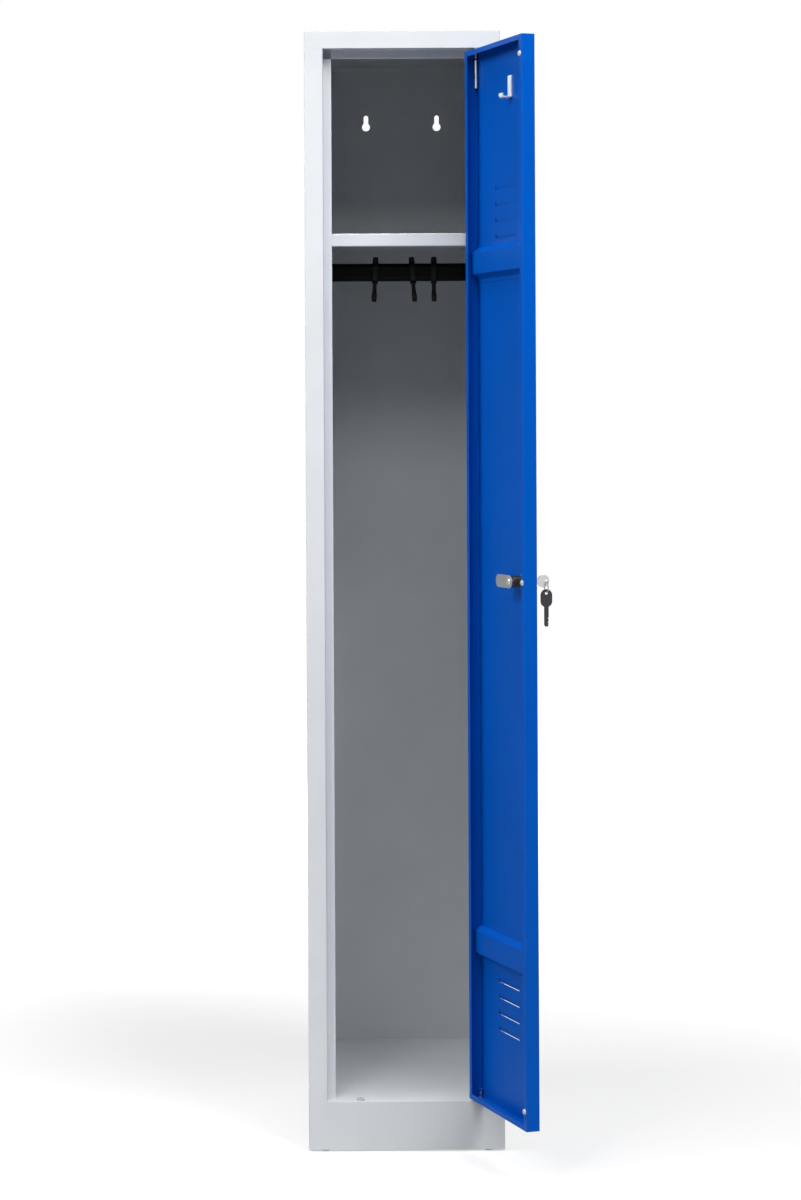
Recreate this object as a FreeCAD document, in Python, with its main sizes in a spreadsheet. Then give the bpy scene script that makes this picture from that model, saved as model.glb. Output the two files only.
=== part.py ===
"""Single-door steel clothes locker, shown with its door open.

Frame: origin on the floor under the middle of the carcass, +X to the right seen from the front, +Y to the
back, +Z up. Door pieces are drawn in the door's own frame, hinge axis on its Z axis and the closed door along
its -X, and are then swung open about that axis. All lengths are millimetres.
"""
import FreeCAD, Part
import math
import os
from types import SimpleNamespace

import Sketcher

SIZES = {
    # Carcass
    "width": 315.0,
    "depth": 500.0,
    "height": 1800.0,
    "sheet": 1.0,
    "bend": 1.0,
    "corner_wrap": 25.0,
    "stile": 30.0,
    "lintel": 28.0,
    "plinth": 80.0,
    "stop_setback": 25.5,
    "stop_lip": 13.0,
    "head_lip": 14.0,
    "rear_flange": 15.0,
    "sill_ledge": 40.0,
    "floor_lap": 10.0,
    "floor_upstand": 15.0,
    "plinth_return": 32.0,
    "keyhole_drop": 106.5,
    "keyhole_spacing": 125.0,
    "keyhole_radius": 7.0,
    "keyhole_slot_radius": 4.0,
    "keyhole_rise": 16.5,
    # Feet and sill glide
    "foot_drop": 3.0,
    "foot_width": 20.0,
    "foot_inset": 26.5,
    "foot_setback": 18.0,
    "foot_stem_width": 8.0,
    "foot_stem": 10.0,
    "glide_offset": 74.0,
    "glide_setback": 11.0,
    "glide_width": 13.0,
    "glide_height": 3.6,
    "glide_bevel": 1.5,
    # Hat shelf, coat rail and coat hooks
    "shelf_drop": 324.0,
    "shelf_edge": 21.0,
    "shelf_fold": 12.0,
    "shelf_gap": 0.5,
    "shelf_stop_gap": 1.5,
    "angle_leg": 15.0,
    "rail_drop": 52.0,
    "rail_height": 30.0,
    "rail_radius": 7.5,
    "rail_wall": 1.0,
    "socket_plate": 2.0,
    "socket_wall": 2.5,
    "socket_corner": 4.0,
    "socket_depth": 9.0,
    "socket_clearance": 0.1,
    "hook_clearance": 0.6,
    "hook_wall": 4.0,
    "hook_width": 10.0,
    "hook_crown": 6.5,
    "hook_crown_width": 9.0,
    "hook_bar": 7.0,
    "hook_drop": 50.0,
    "hook_reach": 24.0,
    "hook_tip": 14.0,
    "hook_corner": 5.0,
    # Door
    "door_side_gap": 2.0,
    "door_head_gap": 7.0,
    "door_sill_gap": 4.5,
    "door_depth": 22.0,
    "door_lip": 12.0,
    "door_end_lip": 8.0,
    "open_angle": 109.0,
    "channel_height": 50.0,
    "channel_depth": 12.0,
    "channel_slope": 8.0,
    "channel_flange": 6.0,
    "upper_channel_drop": 365.0,
    "lower_channel_rise": 227.5,
    "louvre_length": 90.0,
    "louvre_taper": 5.0,
    "louvre_height": 10.0,
    "louvre_reach": 2.4,
    "louvre_pitch": 25.6,
    "upper_louvre_drop": 304.0,
    "lower_louvre_rise": 122.5,
    "buffer_width": 9.0,
    "buffer_clearance": 0.3,
    "buffer_end": 30.0,
    "buffer_edge": 6.5,
    "door_hook_drop": 88.0,
    "door_hook_height": 35.0,
    "door_hook_inset": 100.0,
    "door_hook_width": 14.0,
    "door_hook_reach": 17.5,
    "door_hook_tip": 7.0,
    "door_hook_gauge": 2.5,
    # Hinges
    "hinge_inset": 6.5,
    "hinge_setback": 4.5,
    "pin_radius": 2.5,
    "running_clearance": 0.06,
    "bush_wall": 0.84,
    "bush_flange": 0.8,
    "bush_flange_height": 1.5,
    "bush_depth": 6.0,
    "barrel_radius": 3.2,
    "barrel_length": 45.0,
    "barrel_drop": 13.0,
    "lower_pin_rise": 14.0,
    "collar_radius": 4.2,
    "collar_gap": 0.3,
    "bracket_leg": 16.0,
    "bracket_gauge": 2.0,
    "bracket_width": 10.0,
    # Lock and keys
    "lock_inset": 46.0,
    "lock_level": 924.0,
    "lock_radius": 9.2,
    "lock_fit": 0.1,
    "rosette_radius": 13.0,
    "rosette_height": 3.0,
    "lock_body": 24.0,
    "nut_flats": 27.0,
    "nut_height": 5.0,
    "plug_radius": 6.5,
    "plug_proud": 0.6,
    "tenon": 8.0,
    "cam_gauge": 2.0,
    "cam_stop_gap": 0.7,
    "cam_reach": 56.0,
    "cam_radius": 10.0,
    "cam_screw_radius": 6.0,
    "cam_screw_height": 2.8,
    "cam_screw_shank": 2.4,
    "cam_screw_length": 9.0,
    "key_gauge": 2.0,
    "key_fit": 0.1,
    "key_blade": 7.0,
    "key_depth": 16.0,
    "key_tip": 2.0,
    "cut_start": 3.4,
    "cut_pitch": 3.2,
    "cut_width": 2.6,
    "cut_1": 1.2,
    "cut_2": 2.0,
    "cut_3": 0.8,
    "cut_4": 1.6,
    "bow_radius": 10.0,
    "bow_reach": 28.0,
    "bow_hole_offset": 5.0,
    "bow_hole_radius": 2.6,
    "ring_radius": 8.0,
    "ring_wire": 0.8,
    "ring_gap": 0.5,
    "spare_bow_radius": 9.5,
    "spare_bow_above": 6.0,
    "spare_bow_height": 28.0,
    "spare_blade": 30.0,
}

# Counts, and each coat hook's place along the rail and tilt in degrees. Small moulded pads that repeat are
# drawn with twelve sides, and the bushes' flanges with eight.
LOUVRES = 4
PAD_SIDES = 12
FLANGE_SIDES = 8
COAT_HOOKS = {
    "coat_hook_left": (-46.0, 2.5),
    "coat_hook_middle": (17.0, -4.0),
    "coat_hook_right": (53.0, 0.0),
}

doc = FreeCAD.newDocument("Locker")
sheet = doc.addObject("Spreadsheet::Sheet", "Sizes")
for row, (alias, number) in enumerate(SIZES.items(), 1):
    sheet.set(f"A{row}", alias)
    sheet.set(f"B{row}", str(number))
    sheet.setAlias(f"B{row}", alias)
for name, (place, tilt) in COAT_HOOKS.items():
    row += 1
    sheet.set(f"A{row}", f"{name}_place")
    sheet.set(f"B{row}", str(place))
    sheet.setAlias(f"B{row}", f"{name}_place")
doc.recompute()


class Size:
    """A length with its value and the sheet expression that it comes from."""

    def __init__(self, value, text):
        self.value = value
        self.text = text

    def __add__(self, other):
        other = as_size(other)
        return Size(self.value + other.value, f"({self.text} + {other.text})")

    def __sub__(self, other):
        other = as_size(other)
        return Size(self.value - other.value, f"({self.text} - {other.text})")

    def __mul__(self, factor):
        return Size(self.value * factor, f"({self.text} * {factor})")

    def __truediv__(self, factor):
        return Size(self.value / factor, f"({self.text} / {factor})")

    def __neg__(self):
        return self * -1

    __radd__ = __add__
    __rmul__ = __mul__


def as_size(number):
    return number if isinstance(number, Size) else Size(float(number), str(float(number)))


def bind(item, name, size):
    item.setExpression(name, as_size(size).text)


def outline(points, radii=None):
    """A closed outline whose corners are placed by the sheet. A corner that has a radius is square."""
    points = [(as_size(x), as_size(y)) for x, y in points]
    count = len(points)
    radii = radii or [None] * count
    ways = []
    for (x0, y0), (x1, y1) in zip(points, points[1:] + points[:1]):
        run = FreeCAD.Vector(x1.value - x0.value, y1.value - y0.value, 0)
        ways.append(run.normalize())

    def beside(index, way, sign):
        x, y = points[index]
        reach = radii[index]
        return (x, y) if reach is None else (x + reach * round(sign * way.x), y + reach * round(sign * way.y))

    arrive = [beside(i, ways[i - 1], -1) for i in range(count)]
    leave = [beside(i, ways[i], 1) for i in range(count)]

    def draw(sketch):
        first = sketch.GeometryCount
        starts = [FreeCAD.Vector(x.value, y.value, 0) for x, y in leave]
        ends = [FreeCAD.Vector(x.value, y.value, 0) for x, y in arrive[1:] + arrive[:1]]
        sketch.addGeometry([Part.LineSegment(a, b) for a, b in zip(starts, ends)], False)
        for i in range(count):
            line, before = first + i, first + (i - 1) % count
            place_point(sketch, line, 1, *leave[i])
            if radii[i] is None:
                sketch.addConstraint(Sketcher.Constraint("Coincident", before, 2, line, 1))
                continue
            place_point(sketch, before, 2, *arrive[i])
            left_turn = ways[i - 1].cross(ways[i]).z > 0
            centre = ends[i - 1] + starts[i] - FreeCAD.Vector(points[i][0].value, points[i][1].value, 0)
            spoke = (ends[i - 1] if left_turn else starts[i]) - centre
            angle = math.atan2(spoke.y, spoke.x)
            rim_circle = Part.Circle(centre, FreeCAD.Vector(0, 0, 1), radii[i].value)
            arc = sketch.addGeometry(Part.ArcOfCircle(rim_circle, angle, angle + math.pi / 2), False)
            tail, head = (1, 2) if left_turn else (2, 1)
            sketch.addConstraint(Sketcher.Constraint("Coincident", before, 2, arc, tail))
            sketch.addConstraint(Sketcher.Constraint("Coincident", arc, head, line, 1))
            set_radius(sketch, arc, radii[i])

    return draw


def place_point(sketch, geometry, vertex, x, y):
    for kind, size in (("DistanceX", x), ("DistanceY", y)):
        rule = sketch.addConstraint(Sketcher.Constraint(kind, -1, 1, geometry, vertex, size.value))
        sketch.setExpression(f"Constraints[{rule}]", size.text)


def set_radius(sketch, geometry, radius):
    rule = sketch.addConstraint(Sketcher.Constraint("Radius", geometry, radius.value))
    sketch.setExpression(f"Constraints[{rule}]", radius.text)


def rectangle(left, right, low, high):
    return outline([(left, low), (right, low), (right, high), (left, high)])


def circle(x, y, radius):
    x, y, radius = as_size(x), as_size(y), as_size(radius)

    def draw(sketch):
        centre = FreeCAD.Vector(x.value, y.value, 0)
        index = sketch.addGeometry(Part.Circle(centre, FreeCAD.Vector(0, 0, 1), radius.value), False)
        place_point(sketch, index, 3, x, y)
        set_radius(sketch, index, radius)

    return draw


def polygon(x, y, flats, count):
    """A regular outline with an even count of sides, measured across its flats."""
    step = math.pi / count
    corner = flats / (2 * math.cos(step))
    angles = [step * (2 * n + 1) for n in range(count)]
    return outline([(x + corner * math.cos(a), y + corner * math.sin(a)) for a in angles])


def slot(start, end, radius):
    """A round-ended slot between two centres on one level line or one upright line."""
    start = [as_size(value) for value in start]
    end = [as_size(value) for value in end]
    radius = as_size(radius)

    def draw(sketch):
        a = FreeCAD.Vector(start[0].value, start[1].value, 0)
        b = FreeCAD.Vector(end[0].value, end[1].value, 0)
        along = math.atan2(b.y - a.y, b.x - a.x)
        quarter = math.pi / 2
        side = FreeCAD.Vector(-math.sin(along), math.cos(along), 0) * radius.value
        normal = FreeCAD.Vector(0, 0, 1)
        back = Part.ArcOfCircle(Part.Circle(a, normal, radius.value), along + quarter, along + 3 * quarter)
        nose = Part.ArcOfCircle(Part.Circle(b, normal, radius.value), along - quarter, along + quarter)
        flanks = [Part.LineSegment(a - side, b - side), Part.LineSegment(b + side, a + side)]
        first = sketch.addGeometry([back, flanks[0], nose, flanks[1]], False)[0]
        for step in range(4):
            joint = (first + step, 2, first + (step + 1) % 4, 1)
            sketch.addConstraint(Sketcher.Constraint("Tangent", *joint))
        place_point(sketch, first, 3, *start)
        place_point(sketch, first + 2, 3, *end)
        set_radius(sketch, first, radius)

    return draw


def fold(path, gauge, bend):
    """Outline of a sheet folded along a square-cornered path, with its gauge on the path's left.

    The bend is the inside radius of each fold. Outside, the radius is a gauge more.
    """
    path = [(as_size(x), as_size(y)) for x, y in path]
    ways = []
    for (x0, y0), (x1, y1) in zip(path, path[1:]):
        run = (x1.value - x0.value, y1.value - y0.value)
        ways.append((round(run[0] / math.hypot(*run)), round(run[1] / math.hypot(*run))))
    normals = [(-up, across) for across, up in ways]
    turns = [(a[0] + b[0], a[1] + b[1]) for a, b in zip(normals, normals[1:])]
    sides = [normals[0]] + turns + [normals[-1]]
    inner_side = [(x + gauge * across, y + gauge * up) for (x, y), (across, up) in zip(path, sides)]
    hand = math.copysign(1, gauge.value)
    wide_bend = bend + gauge * hand
    on_path, on_inner = [None], [None]
    for (ax, ay), (bx, by) in zip(ways, ways[1:]):
        sheet_inside = (ax * by - ay * bx) * hand > 0
        on_path.append(wide_bend if sheet_inside else bend)
        on_inner.append(bend if sheet_inside else wide_bend)
    radii = on_path + [None, None] + on_inner[:0:-1] + [None]
    return outline(path + inner_side[::-1], radii)


PLANES = {"X": "YZ_Plane", "Y": "XZ_Plane", "Z": "XY_Plane"}


def new_body(label):
    body = doc.addObject("PartDesign::Body", label)
    body.Label = label
    return body


def sketch_at(body, axis, level, shapes):
    """A sketch square to an axis: (x, y) across Z, (y, z) across X and (x, z) across Y."""
    sketch = body.newObject("Sketcher::SketchObject", f"{body.Label}_sketch")
    plane = next(item for item in body.Origin.OriginFeatures if item.Role == PLANES[axis])
    sketch.AttachmentSupport = [(plane, "")]
    sketch.MapMode = "FlatFace"
    bind(sketch, "AttachmentOffset.Base.z", as_size(level) * (-1 if axis == "Y" else 1))
    for draw in shapes:
        draw(sketch)
    return sketch


def add(body, axis, low, high, *shapes):
    """Pad the shapes from low to high along an axis. The XZ plane faces -Y, so there a pad starts high."""
    feature = body.newObject("PartDesign::Pad", f"{body.Label}_pad")
    feature.Profile = sketch_at(body, axis, high if axis == "Y" else low, shapes)
    bind(feature, "Length", as_size(high) - low)
    doc.recompute()
    return feature


def cut(body, axis, low, high, *shapes):
    """Cut the shapes out from low to high along an axis. A pocket runs against its plane's normal."""
    before = body.Shape.Volume
    feature = body.newObject("PartDesign::Pocket", f"{body.Label}_pocket")
    feature.Profile = sketch_at(body, axis, low if axis == "Y" else high, shapes)
    bind(feature, "Length", as_size(high) - low)
    doc.recompute()
    if not body.Shape.Volume < before:
        raise RuntimeError(f"{feature.Label} removed nothing")
    return feature


def chamfer_edges(body, size, choose):
    """Chamfer the edges of a body's last feature whose boxes the test picks."""
    base = body.Tip
    names = [f"Edge{n}" for n, edge in enumerate(base.Shape.Edges, 1) if choose(edge.BoundBox)]
    feature = body.newObject("PartDesign::Chamfer", f"{body.Label}_chamfer")
    feature.Base = (base, names)
    bind(feature, "Size", size)
    doc.recompute()


def repeat_up(body, features, pitch, count):
    """Repeat features up the Z axis, a pitch apart."""
    pattern = body.newObject("PartDesign::LinearPattern", f"{body.Label}_row")
    pattern.Originals = features
    axis = next(item for item in body.Origin.OriginFeatures if item.Role == "Z_Axis")
    pattern.Direction = (axis, [""])
    pattern.Occurrences = count
    bind(pattern, "Length", pitch * (count - 1))
    body.Tip = pattern
    doc.recompute()


p = SimpleNamespace(**{alias: Size(float(sheet.get(alias)), f"Sizes.{alias}") for alias in SIZES})
pieces = []

# Carcass planes
front = p.depth / -2
back = p.depth / 2
half = p.width / 2
inner = half - p.sheet
opening = half - p.stile
underside = p.foot_drop
sill = p.plinth
lintel_under = p.height - p.lintel
roof_under = p.height - p.sheet
stop_face = front + p.stop_setback
stop_rear = stop_face + p.sheet
back_face = back - p.sheet * 2

# Hinge axis and the closed door's edges in the door's own frame
hinge_x = opening - p.door_side_gap - p.hinge_inset
hinge_y = front + p.hinge_setback
door_right = p.hinge_inset
door_left = p.hinge_inset - (opening - p.door_side_gap) * 2
door_low = sill + p.door_sill_gap
door_high = lintel_under - p.door_head_gap
skin_out = -p.hinge_setback
skin_in = skin_out + p.sheet
rim = skin_out + p.door_depth


def hang_on_door(item):
    """Swing a piece that was drawn in the door's frame to the open door's place."""
    turn = FreeCAD.Rotation(FreeCAD.Vector(0, 0, 1), p.open_angle.value)
    item.Placement = FreeCAD.Placement(FreeCAD.Vector(hinge_x.value, hinge_y.value, 0), turn)
    bind(item, "Placement.Base.x", hinge_x)
    bind(item, "Placement.Base.y", hinge_y)
    item.setExpression("Placement.Rotation.Angle", f"{p.open_angle.text} * 1 deg")
    pieces.append(item)


# Side panels: one sheet each, folded into wall, stile face, return and stop lip. The lip stops short of the
# lintel, which leaves the open notch in the corner of the frame. Above and below the stile the wall stops
# short, because there the lintel and the plinth wrap the corner.
lip_top = lintel_under - p.head_lip
for hand, label in ((-1, "left_side"), (1, "right_side")):
    panel = new_body(label)
    edge = half * hand
    stile_edge = opening * hand
    lip_edge = (opening - p.stop_lip) * hand
    wall = [(edge - p.rear_flange * hand, back), (edge, back)]
    frame = wall + [(edge, front), (stile_edge, front)]
    gauge = p.sheet * -hand
    lipped = fold(frame + [(stile_edge, stop_face), (lip_edge, stop_face)], gauge, p.bend)
    add(panel, "Z", sill, lip_top, lipped)
    add(panel, "Z", lip_top, lintel_under, fold(frame + [(stile_edge, stop_rear)], gauge, p.bend))
    short_wall = fold(wall + [(edge, front + p.corner_wrap)], gauge, p.bend)
    add(panel, "Z", underside, sill, short_wall)
    add(panel, "Z", lintel_under, roof_under, short_wall)
    pieces.append(panel)

# Back panel, laid inside the rear flanges, with two keyholes for wall screws
back_panel = new_body("back_panel")
between_bends = inner - p.bend
back_sheet = rectangle(-between_bends, between_bends, underside, roof_under)
add(back_panel, "Y", back_face, back - p.sheet, back_sheet)
keyholes = (p.keyhole_spacing / -2, p.keyhole_spacing / 2)
keyhole_level = p.height - p.keyhole_drop
rise = keyhole_level + p.keyhole_rise
rounds = [circle(x, keyhole_level, p.keyhole_radius) for x in keyholes]
necks = [slot((x, keyhole_level), (x, rise), p.keyhole_slot_radius) for x in keyholes]
cut(back_panel, "Y", back_face, back - p.sheet, *rounds)
cut(back_panel, "Y", back_face, back - p.sheet, *necks)
pieces.append(back_panel)

# Roof: top sheet folded down into the lintel, back into the return and down again into the head stop lip. The
# lintel and the plinth have the same outline, which wraps the carcass's front corners.
fold_out = p.bend + p.sheet
wrap = [(-half, front + p.corner_wrap), (-half, front), (half, front), (half, front + p.corner_wrap)]
wrapped = fold(wrap, p.sheet, p.bend)
bush_radius = p.pin_radius + p.running_clearance + p.bush_wall
roof = new_body("roof")
top_corners = [(-half, front), (half, front), (half, back), (-half, back)]
add(roof, "Z", roof_under, p.height, outline(top_corners, [fold_out, fold_out, None, None]))
add(roof, "Z", lintel_under, roof_under, wrapped)
add(roof, "X", -inner, inner, rectangle(front + p.sheet, stop_rear, lintel_under, lintel_under + p.sheet))
lip_half = opening - p.stop_lip
add(roof, "X", -lip_half, lip_half, rectangle(stop_face, stop_rear, lip_top, lintel_under))
add(roof, "X", -inner, inner, rectangle(back_face - p.sheet, back_face, p.height - p.rear_flange, roof_under))
cut(roof, "Z", lintel_under, lintel_under + p.sheet, circle(hinge_x, hinge_y, bush_radius))
top_z, rear_y = p.height.value - 1e-3, back.value - 1e-3
chamfer_edges(roof, p.sheet * 0.6, lambda edge: edge.ZMin > top_z and edge.YMin < rear_y)
pieces.append(roof)

# Plinth: front sheet with the sill ledge on top and a return below that carries the front feet
foot_x = half - p.foot_inset
front_foot_y = front + p.foot_setback
rear_foot_y = back_face - p.sheet - p.foot_setback
plinth = new_body("plinth_front")
add(plinth, "Z", underside, sill, wrapped)
add(plinth, "X", -inner, inner, rectangle(front + p.sheet, front + p.sill_ledge, sill - p.sheet, sill))
foot_plate = rectangle(front + p.sheet, front + p.plinth_return, underside, underside + p.sheet)
add(plinth, "X", -inner, inner, foot_plate)
cut(plinth, "Z", sill - p.sheet, sill, circle(hinge_x, hinge_y, bush_radius))


def foot_stem(x, y):
    side = p.foot_stem_width / 2
    return rectangle(x - side, x + side, y - side, y + side)


front_stems = [foot_stem(foot_x * hand, front_foot_y) for hand in (-1, 1)]
cut(plinth, "Z", underside, underside + p.sheet, *front_stems)
pieces.append(plinth)

# Rear plinth rail: an angle inside the back panel that carries the rear feet
rail_rear = new_body("plinth_rear")
rear_leg = [(back_face - p.plinth_return, underside), (back_face, underside), (back_face, sill - p.sheet * 2)]
add(rail_rear, "X", -inner, inner, fold(rear_leg, p.sheet, p.bend))
rear_stems = [foot_stem(foot_x * hand, rear_foot_y) for hand in (-1, 1)]
cut(rail_rear, "Z", underside, underside + p.sheet, *rear_stems)
pieces.append(rail_rear)

# Floor pan: tucked under the sill ledge, with an upstand along both sides and the back
floor_low = sill - p.sheet * 2
ledge_rear = front + p.sill_ledge
floor_pan = new_body("floor_pan")
upstand = sill + p.floor_upstand
pan_path = [(-inner, upstand), (-inner, floor_low), (inner, floor_low), (inner, upstand)]
add(floor_pan, "Y", ledge_rear, back_face, fold(pan_path, p.sheet, p.bend))
lap = rectangle(-inner, inner, ledge_rear - p.floor_lap, ledge_rear)
add(floor_pan, "Z", floor_low, floor_low + p.sheet, lap)
rear_upstand = rectangle(back_face - p.sheet, back_face, floor_low, upstand)
add(floor_pan, "X", -inner, inner, rear_upstand)
pieces.append(floor_pan)

# Feet: moulded pads with a square stem pushed up through the plinth returns
for label, x, y in (
    ("foot_front_left", -foot_x, front_foot_y),
    ("foot_front_right", foot_x, front_foot_y),
    ("foot_rear_left", -foot_x, rear_foot_y),
    ("foot_rear_right", foot_x, rear_foot_y),
):
    foot = new_body(label)
    add(foot, "Z", 0, p.foot_drop, polygon(x, y, p.foot_width, PAD_SIDES))
    add(foot, "Z", p.foot_drop, p.foot_drop + p.foot_stem, foot_stem(x, y))
    pieces.append(foot)

# Sill glide: a low pad that takes the closing door's bottom edge
glide = new_body("sill_glide")
glide_pad = polygon(-p.glide_offset, front + p.glide_setback, p.glide_width, PAD_SIDES)
add(glide, "Z", sill, sill + p.glide_height, glide_pad)
glide_top = (sill + p.glide_height).value - 1e-3
chamfer_edges(glide, p.glide_bevel, lambda edge: edge.ZMin > glide_top)
pieces.append(glide)

# Hat shelf: a tray folded down at the front and back, on an angle along each side wall
shelf_front = stop_rear + p.shelf_stop_gap
shelf_rear = back_face - p.shelf_gap
shelf_level = p.height - p.shelf_drop
shelf_low = shelf_level - p.shelf_edge
shelf_side = inner - p.shelf_gap
shelf = new_body("hat_shelf")
shelf_path = [
    (shelf_rear, shelf_level - p.shelf_fold),
    (shelf_rear, shelf_level),
    (shelf_front, shelf_level),
    (shelf_front, shelf_low),
    (shelf_front + p.shelf_fold, shelf_low),
]
add(shelf, "X", -shelf_side, shelf_side, fold(shelf_path, p.sheet, p.bend))
pieces.append(shelf)

angle_high = shelf_level - p.sheet
for hand, label in ((-1, "shelf_angle_left"), (1, "shelf_angle_right")):
    angle = new_body(label)
    wall_side = inner * hand
    toe = (inner - p.angle_leg) * hand
    angle_path = [(wall_side, angle_high - p.angle_leg), (wall_side, angle_high), (toe, angle_high)]
    folded = fold(angle_path, p.sheet * hand, p.bend)
    add(angle, "Y", shelf_front + p.shelf_fold, shelf_rear - p.shelf_fold, folded)
    pieces.append(angle)

# Coat rail: an oval tube across the locker in a socket on each wall
rail_level = shelf_level - p.rail_drop
rail_flat = p.rail_height / 2 - p.rail_radius
rail_end = inner - p.socket_plate


def oval(radius):
    return slot((0, rail_level - rail_flat), (0, rail_level + rail_flat), radius)


rail = new_body("coat_rail")
add(rail, "X", -rail_end, rail_end, oval(p.rail_radius), oval(p.rail_radius - p.rail_wall))
pieces.append(rail)

# Rail sockets: moulded blocks with clipped corners, closed behind the rail's end
socket_bore = p.rail_radius + p.socket_clearance
block_side = socket_bore + p.socket_wall
block_end = rail_flat + block_side


def clipped(side, low, high, corner):
    """Outline of a block from -side to side and from low to high with its four corners cut off."""
    return outline([
        (corner - side, low),
        (side - corner, low),
        (side, low + corner),
        (side, high - corner),
        (side - corner, high),
        (corner - side, high),
        (-side, high - corner),
        (-side, low + corner),
    ])


socket_block = clipped(block_side, rail_level - block_end, rail_level + block_end, p.socket_corner)
for hand, label in ((-1, "rail_socket_left"), (1, "rail_socket_right")):
    socket = new_body(label)
    mouth = rail_end - p.socket_depth
    spans = ((rail_end, inner), (mouth, rail_end)) if hand > 0 else ((-inner, -rail_end), (-rail_end, -mouth))
    add(socket, "X", *spans[0], socket_block)
    add(socket, "X", *spans[1], socket_block, oval(socket_bore))
    pieces.append(socket)

# Coat hooks: a loop that slides along the rail, a crown on top and a J below that reaches forward, with the
# outside corners clipped
loop_bore = p.rail_radius + p.hook_clearance
loop_out = loop_bore + p.hook_wall
loop_top = rail_flat + loop_out
for label, (place, tilt) in COAT_HOOKS.items():
    hook = new_body(label)
    ends = ((0, -rail_flat), (0, rail_flat))
    side = p.hook_width / 2
    loop = clipped(loop_out, -loop_top, loop_top, p.hook_corner)
    add(hook, "X", -side, side, loop, slot(*ends, loop_bore))
    crown = p.hook_crown_width / 2
    seat = rail_flat + loop_bore + p.hook_wall / 2
    add(hook, "X", -side, side, rectangle(-crown, crown, seat, loop_top + p.hook_crown))
    bar = p.hook_bar / 2
    stem_top = -(rail_flat + loop_bore + p.hook_wall / 2)
    toe = bar - p.hook_reach
    j_outline = [
        (bar, stem_top),
        (-bar, stem_top),
        (-bar, p.hook_bar - p.hook_drop),
        (toe + p.hook_bar, p.hook_bar - p.hook_drop),
        (toe + p.hook_bar, p.hook_tip - p.hook_drop),
        (toe, p.hook_tip - p.hook_drop),
        (toe, p.hook_corner - p.hook_drop),
        (toe + p.hook_corner, -p.hook_drop),
        (bar - p.hook_corner, -p.hook_drop),
        (bar, p.hook_corner - p.hook_drop),
    ]
    add(hook, "X", -bar, bar, outline(j_outline))
    turn = FreeCAD.Rotation(FreeCAD.Vector(0, 1, 0), tilt)
    hook.Placement = FreeCAD.Placement(FreeCAD.Vector(place, 0, rail_level.value), turn)
    hook.setExpression("Placement.Base.x", f"Sizes.{label}_place")
    bind(hook, "Placement.Base.z", rail_level)
    pieces.append(hook)

# Door pan: skin with a folded rim and lip on all four edges, louvres at the head and foot, and a lock hole
pan_left = door_left
lock_x = door_left + p.lock_inset
door = new_body("door_pan")
jamb = [
    (door_right - p.door_lip, rim),
    (door_right, rim),
    (door_right, skin_out),
    (pan_left, skin_out),
    (pan_left, rim),
    (pan_left + p.door_lip, rim),
]
add(door, "Z", door_low, door_high, fold(jamb, -p.sheet, p.bend))
end_corners = [(pan_left, skin_out), (door_right, skin_out), (door_right, rim), (pan_left, rim)]
ends = outline(end_corners, [fold_out] * 4)
add(door, "Z", door_low, door_low + p.sheet, ends)
add(door, "Z", door_high - p.sheet, door_high, ends)
lips = [
    rectangle(pan_left + p.sheet, door_right - p.sheet, door_low, door_low + p.door_end_lip),
    rectangle(pan_left + p.sheet, door_right - p.sheet, door_high - p.door_end_lip, door_high),
]
add(door, "Y", rim - p.sheet, rim, *lips)
louvre_middle = (pan_left + door_right) / 2
louvre_side = p.louvre_length / 2
hood_tip = skin_out - p.louvre_reach
hood_base = louvre_side + p.louvre_taper
mouth_side = louvre_side - p.sheet
for z in (door_low + p.lower_louvre_rise, door_high - p.upper_louvre_drop):
    hood = add(door, "Z", z, z + p.louvre_height, outline([
        (louvre_middle - hood_base, skin_out),
        (louvre_middle - louvre_side, hood_tip),
        (louvre_middle + louvre_side, hood_tip),
        (louvre_middle + hood_base, skin_out),
    ]))
    slope = cut(door, "X", louvre_middle - hood_base, louvre_middle + hood_base, outline([
        (hood_tip, z + p.sheet),
        (skin_out, z + p.louvre_height),
        (hood_tip, z + p.louvre_height),
    ]))
    mouth = cut(door, "X", louvre_middle - mouth_side, louvre_middle + mouth_side, outline([
        (skin_in, z),
        (hood_tip + p.sheet * 0.8, z),
        (skin_in, z + p.louvre_height - p.sheet * 0.4),
    ]))
    repeat_up(door, [hood, slope, mouth], p.louvre_pitch, LOUVRES)
cut(door, "Y", skin_out, skin_in, circle(lock_x, p.lock_level, p.lock_radius + p.lock_fit))
pin_hole = circle(0, 0, p.pin_radius)
cut(door, "Z", door_low, door_low + p.sheet, pin_hole)
cut(door, "Z", door_high - p.sheet, door_high, pin_hole)
hang_on_door(door)

# Door channels: shallow hat sections with sloping sides, welded across the inside of the skin
channel_left = pan_left + fold_out
channel_right = door_right - fold_out
for label, level in (
    ("upper_channel", door_high - p.upper_channel_drop),
    ("lower_channel", door_low + p.lower_channel_rise),
):
    channel = new_body(label)
    foot_face, crown = skin_in + p.sheet, skin_in + p.channel_depth
    top = level + p.channel_height
    outside = [
        (foot_face, level - p.channel_flange),
        (foot_face, level),
        (crown, level + p.channel_slope),
        (crown, top - p.channel_slope),
        (foot_face, top),
        (foot_face, top + p.channel_flange),
    ]
    inside = [
        (skin_in, top + p.channel_flange),
        (skin_in, top - p.sheet / 2),
        (crown - p.sheet, top - p.channel_slope - p.sheet / 2),
        (crown - p.sheet, level + p.channel_slope + p.sheet / 2),
        (skin_in, level + p.sheet / 2),
        (skin_in, level - p.channel_flange),
    ]
    add(channel, "X", channel_left, channel_right, outline(outside + inside))
    hang_on_door(channel)

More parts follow.
